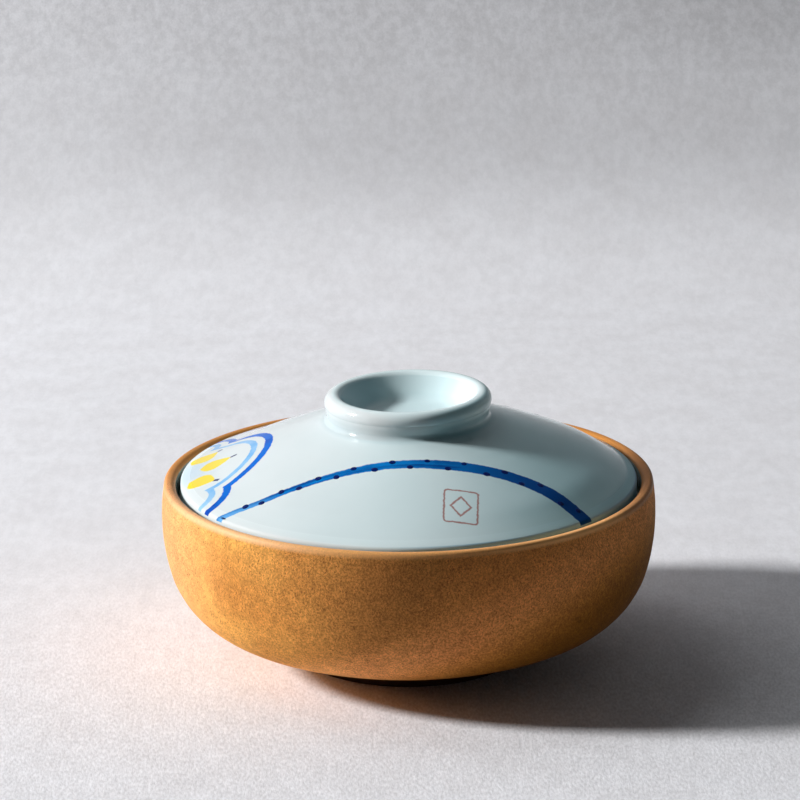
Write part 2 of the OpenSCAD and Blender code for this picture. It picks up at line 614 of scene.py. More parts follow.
        # Painted shade: the lip grows darker towards the back.
        clay = graph.mix(graph.band(y, self.smoked_lip_y) * wiped, clay, self.smoked)
        # Painted shade on the lip at the right, between its front and its back.
        dark = graph.band(x, self.dark_x) * graph.band(y, self.dark_front_y)
        dark = dark * graph.band(y, self.dark_back_y)
        return graph.mix(dark * wiped, clay, self.dark_lip)

    def material(self, rim_height: float) -> bpy.types.Material:
        """Builds the bowl's material.

        Args:
            rim_height: Height of the top of the lip.

        Returns:
            The material.
        """
        graph = ShaderGraph("speckled stoneware")
        squashed = graph.stretched(self.squash)
        grain = graph.noise(squashed, self.grain)
        wiped = graph.band(graph.z - rim_height, self.wiped_z)
        clay = self.rubbed(graph, self.fired(graph, grain), wiped)
        wander = graph.noise(graph.place, self.wander) - 0.5
        edge = graph.field(Role.GLAZE) + wander * self.wander_share
        glazed = graph.band(edge, self.glaze_line)
        clay = graph.mix(graph.band(edge, self.edge_line), clay, self.glaze_edge)
        # Painted shade: the foot ring is near black, as if in the shadow under the bowl.
        clay = graph.mix(graph.band(graph.z, self.foot_z), clay, self.foot)
        depth = graph.band(graph.noise(graph.place, self.glaze_depth), self.glaze_tone)
        colour = graph.mix(glazed, clay, graph.shade(self.inner_glaze, depth))
        bare = 1.0 - glazed
        rough = graph.band(grain * self.grain_rough + wiped, self.clay_rough)
        roughness = (rough - self.glaze_rough) * bare + self.glaze_rough
        dust = graph.noise(squashed, self.dust)
        tooth = grain * (1.0 - self.dust_share) + dust * self.dust_share
        tooth = tooth * bare * (1.0 - wiped * self.wiped_share)
        normal = graph.relief(tooth, self.tooth_depth, self.tooth_strength)
        gloss = glazed * (self.glaze_gloss - self.clay_gloss) + self.clay_gloss
        graph.feed(graph.shader.inputs["Specular IOR Level"], gloss)
        return graph.finish(colour, roughness, normal, IOR=self.refraction)


@dataclass(frozen=True)
class StripeCourse:
    """Where a painted stripe runs over the lid, seen from above.

    Attributes:
        crest: The place where the stripe lies furthest back.
        left_bend: How fast it comes forward to the left of there, in 1/m.
        right_fall: How far it has come forward at its right end.
        right_run: Distance from the crest to its right end.
        right_power: How late that fall comes.
        swell: How its width grows from left to right.
    """

    crest: Place = (3.7 * MM, -40.3 * MM)
    left_bend: float = 1.25
    right_fall: float = 9.7 * MM
    right_run: float = 53.4 * MM
    right_power: float = 4.2
    swell: Ramp = Ramp(-38 * MM, 45 * MM, 2.8 * MM, 5.8 * MM)

    def parts(self, graph: NodeGraph, x: Term) -> tuple[Term, Term]:
        """Returns how far x lies left of the crest, and its share of the run to the right."""
        away = x - self.crest[0]
        return graph.least(away, 0.0), graph.most(away, 0.0) / self.right_run

    def line(self, graph: NodeGraph, x: Term) -> Term:
        """Finds the middle of the stripe.

        Args:
            graph: The tree that asks.
            x: Place across the lid.

        Returns:
            How far back the stripe lies there.
        """
        left, right = self.parts(graph, x)
        fall = left * left * self.left_bend + right**self.right_power * self.right_fall
        return self.crest[1] - fall

    def slant(self, graph: NodeGraph, x: Term) -> Term:
        """Finds how much narrower the stripe is across its slope than along Y.

        Args:
            graph: The tree that asks.
            x: Place across the lid.

        Returns:
            The cosine of the slope there.
        """
        left, right = self.parts(graph, x)
        gain = self.right_fall * self.right_power / self.right_run
        slope = right ** (self.right_power - 1.0) * gain - left * (2.0 * self.left_bend)
        return (slope * slope + 1.0) ** -0.5

    def width(self, graph: NodeGraph, x: Term) -> Term:
        """Returns the stripe's width at x, which grows evenly."""
        return Term(graph, graph.filled("ShaderNodeMapRange", (x, *self.swell))[0])


@dataclass(frozen=True)
class CloudPanel:
    """The lobed panel on the lid's edge: one large lobe between two small ones.

    Attributes:
        middle: Centre of the large lobe, in plan.
        radius: Radius of the large lobe.
        side: Centre of the small lobe at the back; the other mirrors it.
        side_radius: Radius of the small lobes.
        line_width: Width of the line round the lobes.
        inner_gap: Distance from there to the paler line inside.
        inner_width: Width of the paler line.
        wash: How the pale wash fills the lobes, by depth inside them.
        fan: The place that the petals spread from.
        petal_ring: Distance from there to the petals' middles.
        petal_taper: How much narrower the petals grow outwards.
        least_taper: The least that the taper leaves of their width.
        stem_inset: Share of a stem that lies beyond its petal, less a half.
    """

    middle: Place = (-77.7 * MM, 0.0)
    radius: float = 30 * MM
    side: Place = (-75.3 * MM, 27 * MM)
    side_radius: float = 14 * MM
    line_width: float = 2.8 * MM
    inner_gap: float = 5.2 * MM
    inner_width: float = 2.3 * MM
    wash: Ramp = Ramp(12 * MM, 27 * MM, 0.0, 0.3)
    fan: Place = (-88.3 * MM, 0.0)
    petal_ring: float = 22 * MM
    petal_count: int = 3
    petal_length: float = 11 * MM
    petal_width: float = 9.4 * MM
    petal_step: float = math.radians(36)
    petal_taper: float = 0.305
    least_taper: float = 0.2
    stem_length: float = 2.2 * MM
    stem_width: float = 1.3 * MM
    stem_inset: float = 0.35


@dataclass(frozen=True)
class SmallMark:
    """The small mark at the front: a rounded frame with a lozenge in it.

    Attributes:
        lozenge_share: Size of the lozenge, as a share of the frame.
        lozenge_line: Cosine of the lozenge's sides, which keeps its line as wide.
    """

    centre: Place = (17.3 * MM, -59.7 * MM)
    size: tuple[float, float] = (11.2 * MM, 14.4 * MM)
    corner: float = 1.0 * MM
    line: float = 0.62 * MM
    lozenge_share: float = 0.6
    lozenge_line: float = 0.75
    turn: float = math.radians(-2)


class PaintedFacingLight(NamedTuple):
    """A colour that paints light or shade onto the glaze, and the way a face looks where it shows."""

    colour: Colour
    facing: Ramp


@dataclass(frozen=True)
class PaintedGlaze:
    """Pale blue-green glaze on white porcelain, painted with cobalt, yellow and iron red,
    and with painted light and shade by the way each face looks.

    Attributes:
        brush: Evenness of the cobalt in a stroke.
        streak: Streaks in the stripes, by their number in a metre along and across.
        heavy_x: How the stripes grow darker to the right, as painted shade.
        dilute_x: How they grow pale to the left.
        dilute_off: How that shows more on their front edge.
        upper: How far a face has to look up to be painted.
        dome: Radii between which the dish ends and the dome begins.
        grip: Radii between which the ring grip ends.
        verge: Radii between which the worn edge begins.
    """

    thin: Colour = (0.715, 0.85, 0.865)
    deep: Colour = (0.46, 0.635, 0.67)
    pool_tone: Ramp = Ramp(0.2, 1.1)
    flow: Grain = Grain(38, 3)
    flow_share: float = 0.3
    # Painted light and shade by the way a face looks: left dims and greys the lit faces on the left,
    # right darkens the shaded faces on the right, grip_right lightens the grip's shaded right side,
    # grip_left dims its lit left side, dish darkens the dish's shaded inner wall, and steep darkens
    # the lid's steep front edge.
    left: PaintedFacingLight = PaintedFacingLight((0.90, 0.81, 0.80), Ramp(-0.40, 0.04, 1.0, 0.0))
    right: PaintedFacingLight = PaintedFacingLight((0.68, 0.89, 0.92), Ramp(0.04, 0.42))
    grip_right: PaintedFacingLight = PaintedFacingLight((0.98, 1.12, 1.10), Ramp(0.5, 0.85))
    grip_left: PaintedFacingLight = PaintedFacingLight((0.80, 0.74, 0.74), Ramp(-0.9, -0.45, 1.0, 0.0))
    dish: PaintedFacingLight = PaintedFacingLight((0.68, 0.78, 0.82), Ramp(0.15, 0.5))
    steep: PaintedFacingLight = PaintedFacingLight((0.50, 0.72, 0.90), Ramp(0.75, 0.9, 1.0, 0.0))
    steep_x: Ramp = Ramp(-20 * MM, 30 * MM)
    dome: Ramp = Ramp(23 * MM, 27 * MM)
    grip: Ramp = Ramp(32 * MM, 40 * MM, 1.0, 0.0)
    verge: Ramp = Ramp(74 * MM, 76 * MM)
    bare: Colour = (0.62, 0.50, 0.38)
    bare_line: Ramp = Ramp(0.4, 0.6, 1.0, 0.0)
    cobalt: Colour = (0.002, 0.19, 0.56)
    cobalt_deep: Colour = (0.001, 0.062, 0.27)
    cobalt_pale: Colour = (0.13, 0.38, 0.70)
    royal: Colour = (0.001, 0.12, 0.53)
    royal_deep: Colour = (0.001, 0.05, 0.36)
    royal_load: Ramp = Ramp(0.4, 0.72)
    wash: Colour = (0.30, 0.53, 0.76)
    pale_load: Ramp = Ramp(0.3, 0.75)
    navy: Colour = (0.002, 0.012, 0.11)
    yellow: Colour = (0.80, 0.61, 0.03)
    iron: Colour = (0.36, 0.12, 0.10)
    iron_share: float = 0.85
    upper: Ramp = Ramp(0.03, 0.12)
    brush: Grain = Grain(70, 3, 0.6)
    brush_width: Ramp = Ramp(0.2, 0.8, 0.94, 1.06)
    streak: tuple[float, float] = (22.0, 700.0)
    streak_share: float = 0.6
    stripe_load: Ramp = Ramp(0.36, 0.66)
    heavy_x: Ramp = Ramp(-12 * MM, 46 * MM)
    dilute_x: Ramp = Ramp(-64 * MM, -40 * MM, 0.85, 0.0)
    dilute_off: Ramp = Ramp(1.2 * MM, -0.6 * MM, 0.35, 1.0)
    edge_blur: float = 0.4 * MM
    waver: Grain = Grain(700)
    waver_size: float = 0.7 * MM
    refraction: float = 1.5
    gloss: float = 0.32
    paint_gloss: float = 0.04
    roughness: Ramp = Ramp(0.3, 0.7, 0.06, 0.1)
    bare_rough: float = 0.5
    verge_rough: float = 0.35
    ripple: Grain = Grain(90)
    ripple_depth: float = 0.05 * MM
    ripple_strength: float = 0.5
    course: StripeCourse = StripeCourse()
    panel: CloudPanel = CloudPanel()
    small_mark: SmallMark = SmallMark()

    def stroke(self, graph: ShaderGraph, distance: Term, width: Value) -> Term:
        """Lays a brush stroke.

        Args:
            graph: The material's tree.
            distance: Distance from the stroke's middle, without sign.
            width: Width of the stroke.

        Returns:
            1 inside the stroke and 0 outside.
        """
        inside = distance * -1.0 + width * 0.5
        return graph.band(inside, Ramp(-self.edge_blur / 2, self.edge_blur / 2))

    def tint(self, graph: ShaderGraph, facing: list[Term], spread: Term) -> Socket:
        """Paints light and shade onto the glaze by the way each face looks, on each side of the lid,
        its grip, its dish and its steep front edge.

        Args:
            graph: The material's tree.
            facing: The way a face looks, as three parts.
            spread: Distance from the axis.

        Returns:
            The painted light and shade, which the glaze's colour is multiplied by.
        """
        open_dome = graph.band(spread, self.dome)
        side = facing[0] * open_dome
        grip = graph.band(spread, self.grip)
        verge = graph.band(spread, self.verge) * graph.band(graph.x, self.steep_x)
        tint = (1.0, 1.0, 1.0)
        for given, way, share in (
            (self.left, side, 1.0),
            (self.right, side, 1.0),
            (self.grip_right, side, grip),
            (self.grip_left, side, grip),
            (self.dish, facing[0] - open_dome, 1.0),
            (self.steep, facing[2], verge),
        ):
            tint = graph.mix(graph.band(way, given.facing) * share, tint, given.colour)
        return tint

    def stripes(self, graph: ShaderGraph, x: Term, y: Term, load: Term) -> tuple[Term, Socket]:
        """Paints the front and back stripes.

        Args:
            graph: The material's tree.
            x: Place across the lid.
            y: Place towards the back.
            load: How full the brush is, from 0 to 1.

        Returns:
            The stripes' mask, and the colour of their cobalt.
        """
        forward = abs(y) * -1.0
        off = (forward - self.course.line(graph, x)) * self.course.slant(graph, x)
        width = self.course.width(graph, x) * graph.band(load, self.brush_width)
        mask = self.stroke(graph, abs(off), width)
        along, across = self.streak
        streak = graph.noise(graph.combine(x * along, off * across, 0.0), Grain(1.0))
        depth = streak * self.streak_share + load * (1.0 - self.streak_share)
        # The stripe is darker where the brush was full, and darker towards the right as painted shade.
        dark = graph.most(graph.band(depth, self.stripe_load), graph.band(x, self.heavy_x))
        dilute = graph.band(x, self.dilute_x) * graph.band(off, self.dilute_off)
        colour = graph.mix(dark, self.cobalt, self.cobalt_deep)
        return mask, graph.mix(dilute, colour, self.cobalt_pale)

    def cloud(self, graph: ShaderGraph, x: Term, y: Term) -> Term:
        """Measures the panel's lobes.

        Args:
            graph: The material's tree.
            x: Place across the lid.
            y: Place towards the back.

        Returns:
            How deep inside the lobes the place lies, less than zero outside.
        """
        panel = self.panel
        middle = graph.length(x - panel.middle[0], y - panel.middle[1])
        side = graph.length(x - panel.side[0], abs(y) - panel.side[1])
        return graph.most(panel.radius - middle, panel.side_radius - side)

    def petals(self, graph: ShaderGraph, x: Term, y: Term) -> tuple[Term, Term]:
        """Draws the fan of petals.

        Args:
            graph: The material's tree.
            x: Place across the lid.
            y: Place towards the back.

        Returns:
            The masks of the yellow petals and of their dark stems.
        """
        panel = self.panel
        x, y = x - panel.fan[0], y - panel.fan[1]
        spread, turn = graph.length(x, y), graph.math("ARCTAN2", y, x)
        sector = graph.math("ROUND", turn / panel.petal_step)
        kept = graph.math("LESS_THAN", abs(sector), panel.petal_count / 2)
        across = abs((turn - sector * panel.petal_step) * spread)
        half = panel.petal_length / 2
        along = (spread - panel.petal_ring) / half
        taper = graph.most(1.0 - along * panel.petal_taper, panel.least_taper)
        room = (1.0 - along * along) * taper * (panel.petal_width / 2)
        petal = graph.band(room - across, Ramp(-self.edge_blur, self.edge_blur))
        stem_at = panel.petal_ring + half + panel.stem_length * panel.stem_inset
        stem = self.stroke(graph, abs(spread - stem_at), panel.stem_length)
        return petal * kept, stem * self.stroke(graph, across, panel.stem_width) * kept

    def mark(self, graph: ShaderGraph, x: Term, y: Term) -> Term:
        """Draws the small frame with a lozenge in it.

        Args:
            graph: The material's tree.
            x: Place across the lid.
            y: Place towards the back.

        Returns:
            The mask of its lines.
        """
        mark = self.small_mark
        wide, high = mark.size[0] / 2, mark.size[1] / 2
        x, y = x - mark.centre[0], y - mark.centre[1]
        cosine, sine = ray(mark.turn)
        across, along = abs(x * cosine + y * sine), abs(y * cosine - x * sine)
        over_x, over_y = across - (wide - mark.corner), along - (high - mark.corner)
        outside = graph.length(graph.most(over_x, 0.0), graph.most(over_y, 0.0))
        inside = graph.least(graph.most(over_x, over_y), 0.0)
        frame_off = abs(outside + inside - mark.corner)
        slant = across / (wide * mark.lozenge_share) + along / (high * mark.lozenge_share)
        lozenge_off = abs(slant - 1.0) * (wide * mark.lozenge_share * mark.lozenge_line)
        frame_mask = self.stroke(graph, frame_off, mark.line)
        return graph.most(frame_mask, self.stroke(graph, lozenge_off, mark.line))

    def material(self) -> bpy.types.Material:
        """Builds the lid's material.

        Returns:
            The material.
        """
        graph = ShaderGraph("painted celadon glaze")
        facing = graph.split(graph.facing)
        spread = graph.length(graph.x, graph.y)
        flow = graph.noise(graph.place, self.flow)
        pooled = graph.field(Role.POOL) + flow * self.flow_share
        colour = graph.mix(graph.band(pooled, self.pool_tone), self.thin, self.deep)
        # Painted light and shade by the way each face looks, multiplied into the glaze.
        colour = graph.mix(1.0, colour, self.tint(graph, facing, spread), "MULTIPLY")

        waver = graph.noise(graph.place, self.waver).socket.node.outputs["Color"]
        waver = graph.vector("SUBTRACT", waver, (0.5, 0.5, 0.5))[0]
        hand = graph.vector("ADD", graph.place, graph.scaled(waver, self.waver_size))[0]
        x, y, _ = graph.split(hand)
        load = graph.noise(graph.place, self.brush)
        panel = self.panel
        depth = self.cloud(graph, x, y)
        inner = self.stroke(graph, abs(depth - panel.inner_gap), panel.inner_width)
        outer = self.stroke(graph, abs(depth), panel.line_width)
        petal, stem = self.petals(graph, x, y)
        stripe, cobalt = self.stripes(graph, x, y, load)
        pale = graph.mix(graph.band(load, self.pale_load), self.cobalt_pale, self.wash)
        royal = graph.mix(graph.band(load, self.royal_load), self.royal, self.royal_deep)
        top = graph.band(facing[2], self.upper)
        for share, paint in (
            (graph.band(depth, panel.wash), self.wash),
            (inner, pale),
            (outer, royal),
            (petal, self.yellow),
            (stem, self.navy),
            (stripe, cobalt),
            (self.mark(graph, x, y) * self.iron_share, self.iron),
        ):
            colour = graph.mix(share * top, colour, paint)

        bare = graph.band(graph.field(Role.GLAZE), self.bare_line)
        colour = graph.mix(bare, colour, self.bare)
        verge = graph.band(spread, self.verge)
        roughness = graph.band(flow, self.roughness) + bare * self.bare_rough
        roughness = roughness + verge * self.verge_rough
        ripple = graph.noise(graph.place, self.ripple)
        normal = graph.relief(ripple, self.ripple_depth, self.ripple_strength)
        painted = graph.most(graph.most(stripe, outer) * top, verge)
        shine = painted * (self.paint_gloss - self.gloss) + self.gloss
        graph.feed(graph.shader.inputs["Specular IOR Level"], shine)
        return graph.finish(colour, roughness, normal, IOR=self.refraction)


@dataclass(frozen=True)
class EnamelFinish:
    """Thick dark cobalt, laid on in dots."""

    dark: Colour = (0.001, 0.008, 0.085)
    edge: Colour = (0.001, 0.022, 0.17)
    blot: Grain = Grain(900)
    blot_tone: Ramp = Ramp(0.4, 0.75)
    roughness: float = 0.2
    refraction: float = 1.5
    gloss: float = 0.08
    relief_depth: float = 0.02 * MM
    relief_strength: float = 0.4

    def material(self) -> bpy.types.Material:
        """Builds the dots' material.

        Returns:
            The material.
        """
        graph = ShaderGraph("cobalt dots")
        blot = graph.noise(graph.place, self.blot)
        colour = graph.mix(graph.band(blot, self.blot_tone), self.dark, self.edge)
        normal = graph.relief(blot, self.relief_depth, self.relief_strength)
        return graph.finish(
            colour, self.roughness, normal,
            IOR=self.refraction, Specular_IOR_Level=self.gloss,
        )


@dataclass(frozen=True)
class PaperFinish:
    """Plain pale paper under the bowl.

    A ramp ending in x, y or z says where something changes across the paper, towards
    its back or up its sweep. The darkening up the sweep and towards the right is painted
    shade.
    """

    pale: Colour = (0.80, 0.805, 0.835)
    dim: Colour = (0.755, 0.755, 0.78)
    mottle: Grain = Grain(45, 5, 0.6)
    mottle_tone: Ramp = Ramp(0.3, 0.7)
    fibre_stretch: tuple[float, float, float] = (1.0, 0.32, 1.0)
    felt: Grain = Grain(1150, 3, 0.65)
    felt_tone: Ramp = Ramp(0.25, 0.75, -0.16, 0.16)
    felt_y: Ramp = Ramp(-0.08, 0.16, 1.0, 0.12)
    felt_z: Ramp = Ramp(20 * MM, 120 * MM, 0.0, 0.25)
    felt_depth: float = 0.08 * MM
    rear_z: Ramp = Ramp(3 * MM, 50 * MM)
    rear_x: Ramp = Ramp(-0.2, 0.0, 0.13, 0.235)
    corner_z: Ramp = Ramp(60 * MM, 100 * MM)
    corner_x: Ramp = Ramp(0.0, 0.2, 0.0, 0.11)
    lump: Grain = Grain(260, 3, 0.6)
    lump_tone: Ramp = Ramp(0.3, 0.7, -0.035, 0.035)
    lump_z: Ramp = Ramp(20 * MM, 120 * MM, 1.0, 2.4)
    lump_y: Ramp = Ramp(-0.08, 0.16, 1.0, 0.5)
    lump_depth: float = 0.15 * MM
    roughness: float = 0.9
    refraction: float = 1.4

    def material(self) -> bpy.types.Material:
        """Builds the paper's material.

        Returns:
            The material.
        """
        graph = ShaderGraph("pale paper")
        x, y, z = graph.x, graph.y, graph.z
        mottle = graph.band(graph.noise(graph.place, self.mottle), self.mottle_tone)
        fibres = graph.stretched(self.fibre_stretch)
        felt, lump = graph.noise(fibres, self.felt), graph.noise(fibres, self.lump)
        near = graph.band(y, self.felt_y) + graph.band(z, self.felt_z)
        # Painted shade: the paper darkens up its sweep, and more so towards the right.
        paper_shade = graph.band(z, self.rear_z) * graph.band(x, self.rear_x)
        paper_shade = paper_shade + graph.band(z, self.corner_z) * graph.band(x, self.corner_x)
        colour = graph.mix(mottle, self.pale, self.dim)
        for tone in (
            graph.band(felt, self.felt_tone) * near + 1.0,
            1.0 - paper_shade,
            graph.band(lump, self.lump_tone) * graph.band(z, self.lump_z) + 1.0,
        ):
            colour = graph.shade(colour, tone)
        lump = lump * graph.band(y, self.lump_y) * (self.lump_depth / self.felt_depth)
        normal = graph.relief(lump + felt * near, self.felt_depth)
        self.open_back(graph)
        return graph.finish(colour, self.roughness, normal, IOR=self.refraction)

    def open_back(self, graph: ShaderGraph) -> None:
        """Leaves the paper's back unseen, so that it hides nothing from behind or below.

        Args:
            graph: The paper's tree.
        """
        back = Term(graph, graph.node("ShaderNodeNewGeometry").outputs["Backfacing"])
        direct = Term(graph, graph.node("ShaderNodeLightPath").outputs["Is Camera Ray"])
        clear = graph.node("ShaderNodeBsdfTransparent").outputs[0]
        given = (back * direct, graph.shader.outputs[0], clear)
        graph.feed(graph.surface, graph.filled("ShaderNodeMixShader", given)[0])


def plain_piece(source: bpy.types.Object, name: str) -> bpy.types.Object:
    """Turns an object's evaluated mesh into a plain piece, and removes the object.

    Args:
        source: An object whose modifiers make the piece.
        name: The new piece's name.

    Returns:
        The piece.
    """
    bpy.context.view_layer.update()
    graph = bpy.context.evaluated_depsgraph_get()
    mesh = bpy.data.meshes.new_from_object(source.evaluated_get(graph), depsgraph=graph)
    mesh.name = name
    source.modifiers.clear()
    bpy.data.objects.remove(source)
    return placed(name, mesh)


class PieceTree(NodeGraph):
    """A Geometry Nodes tree with named inputs, which makes one plain piece."""

    def __init__(self, name: str, kinds: dict[str, str]) -> None:
        """Makes the tree with its inputs.

        Args:
            name: The tree's name.
            kinds: Each input's kind, by its name. One of them is Finish, a material.
        """
        super().__init__(bpy.data.node_groups.new(name, "GeometryNodeTree"))
        face = self.tree.interface
        for way in ("INPUT", "OUTPUT"):
            face.new_socket("Geometry", in_out=way, socket_type="NodeSocketGeometry")
        self.sockets = {
            key: face.new_socket(key, in_out="INPUT", socket_type="NodeSocket" + kind).identifier
            for key, kind in kinds.items()
        }
        self.given = self.node("NodeGroupInput").outputs

    def ask(self, name: str) -> Term:
        """Returns an input's value."""
        return Term(self, self.given[name])

    def finish(self, geometry: Socket) -> None:
        """Makes the geometry real, smooth and dressed, and sends it out.

        Args:
            geometry: What the tree has made.
        """
        real = self.node("GeometryNodeRealizeInstances", Geometry=geometry).outputs[0]
        smooth = self.node("GeometryNodeSetShadeSmooth", Geometry=real).outputs[0]
        dressed = self.node("GeometryNodeSetMaterial", Geometry=smooth, Material=self.given["Finish"])
        self.feed(self.node("NodeGroupOutput").inputs[0], dressed.outputs[0])

    def make(self, source: bpy.types.Object, name: str, settings: dict) -> bpy.types.Object:
        """Runs the tree on source.

        Args:
            source: The object that the tree starts from, which is used up.
            name: The piece's name.
            settings: Each input's value, by its name.

        Returns:
            The piece, at the origin, with no modifier left.
        """
        modifier = source.modifiers.new("making", "NODES")
        modifier.node_group = self.tree
        for key, value in settings.items():
            modifier[self.sockets[key]] = value
        return plain_piece(source, name)


@dataclass(frozen=True)
class HandWork:
    """The unevenness that hands and the kiln leave on a turned piece.

    Attributes:
        wobble: Largest stray of the surface from true round.
        wobble_scale: Waves of that stray in a metre.
        ring_depth: Depth of the rings left by the potter's fingers.
        ring_scale: Finger rings in a metre of the section.
        lean: Slope of the piece's top to one side, in radians.
        lean_turn: Direction in plan that the piece rises towards.
        lean_outer: Radius at which the lean starts.
        lean_inner: Radius inside which the lean is whole.
        aside: How far to +X the piece sits off the middle.
        seed: Chooses one piece from others made alike.
    """

    wobble: float
    wobble_scale: float
    ring_depth: float
    ring_scale: float
    lean: float
    lean_turn: float
    lean_outer: float
    lean_inner: float
    aside: float
    seed: float

    @classmethod
    def inputs(cls) -> dict[str, str]:
        """Returns the name of the tree's input for each field."""
        return {given.name: given.name.replace("_", " ").title() for given in fields(cls)}


class TurningTree(PieceTree):
    """The Geometry Nodes tree that turns a half section into a piece."""

    PATH_RADIUS = 0.05
    MERGE = 0.001 * MM
    SEGMENTS = 320
    DRIFT = Grain(12.0, 1.0)
    DRIFT_SIZE = 3.0 * MM

    def __init__(self) -> None:
        """Builds the tree: sweep, close the poles, then the hand's unevenness."""
        kinds = {"Segments": "Int", **dict.fromkeys(HandWork.inputs().values(), "Float")}
        super().__init__("turn a half section", {**kinds, "Finish": "Material"})
        centre = (-self.PATH_RADIUS, 0.0, 0.0)
        centred = self.node("GeometryNodeSetPosition", Geometry=self.given["Geometry"], Offset=centre)
        section = self.node("GeometryNodeMeshToCurve", Mesh=centred.outputs[0])
        path = self.node("GeometryNodeCurvePrimitiveCircle", Resolution=self.given["Segments"])
        path.inputs["Radius"].default_value = self.PATH_RADIUS
        swept = self.node(
            "GeometryNodeCurveToMesh",
            Curve=path.outputs["Curve"], Profile_Curve=section.outputs["Curve"],
        )
        half_turn = (math.pi, 0.0, 0.0)
        upright = self.node("GeometryNodeTransform", Geometry=swept.outputs[0], Rotation=half_turn)
        closed = self.node(
            "GeometryNodeMergeByDistance", Geometry=upright.outputs[0], Distance=self.MERGE
        )
        moved = self.node(
            "GeometryNodeSetPosition", Geometry=closed.outputs[0], Offset=self.unevenness()
        )
        self.finish(moved.outputs[0])

    def carried(self, role: Role) -> Term:
        """Returns a field that the half section's points carry."""
        made = self.node("GeometryNodeInputNamedAttribute", Name=role.value)
        return Term(self, made.outputs[0])

    def unevenness(self) -> Socket:
        """Moves each point off true round, and up or down with the lean.

        Returns:
            How far each point moves.
        """
        place = self.node("GeometryNodeInputPosition").outputs[0]
        seed = self.ask("Seed")
        seeded = self.vector("ADD", place, self.combine(seed, seed, 0.0))[0]
        stray = self.noise(seeded, Grain(self.ask("Wobble Scale"), 1.0)) - 0.5
        drift = self.noise(seeded, self.DRIFT) * self.DRIFT_SIZE
        along = self.carried(Role.TRAVEL) + drift + seed
        finger = self.noise(along, Grain(self.ask("Ring Scale"), 1.0), "1D") - 0.5
        out = stray * (self.ask("Wobble") * 2.0) + finger * (self.ask("Ring Depth") * 2.0)
        normal = self.node("GeometryNodeInputNormal").outputs[0]
        push = self.scaled(normal, out * self.carried(Role.GIVE))
        x, y, _ = self.split(place)
        share = self.band(self.length(x, y), Ramp(self.ask("Lean Outer"), self.ask("Lean Inner")))
        turn = self.ask("Lean Turn")
        away = x * self.math("COSINE", turn) + y * self.math("SINE", turn)
        rise = away * self.math("TANGENT", self.ask("Lean")) * share
        return self.vector("ADD", push, self.combine(self.ask("Aside"), 0.0, rise))[0]

    def turn(
        self, section: Section, name: str, work: HandWork, finish: bpy.types.Material
    ) -> bpy.types.Object:
        """Turns a section into a plain mesh piece.

        Args:
            section: The half section.
            name: The piece's name.
            work: Its unevenness.
            finish: Its material.

        Returns:
            The piece, at the origin, with no modifier left.
        """
        settings = {label: getattr(work, key) for key, label in HandWork.inputs().items()}
        settings.update(Segments=self.SEGMENTS, Finish=finish)
        return self.make(section.wire(name + "_section"), name, settings)


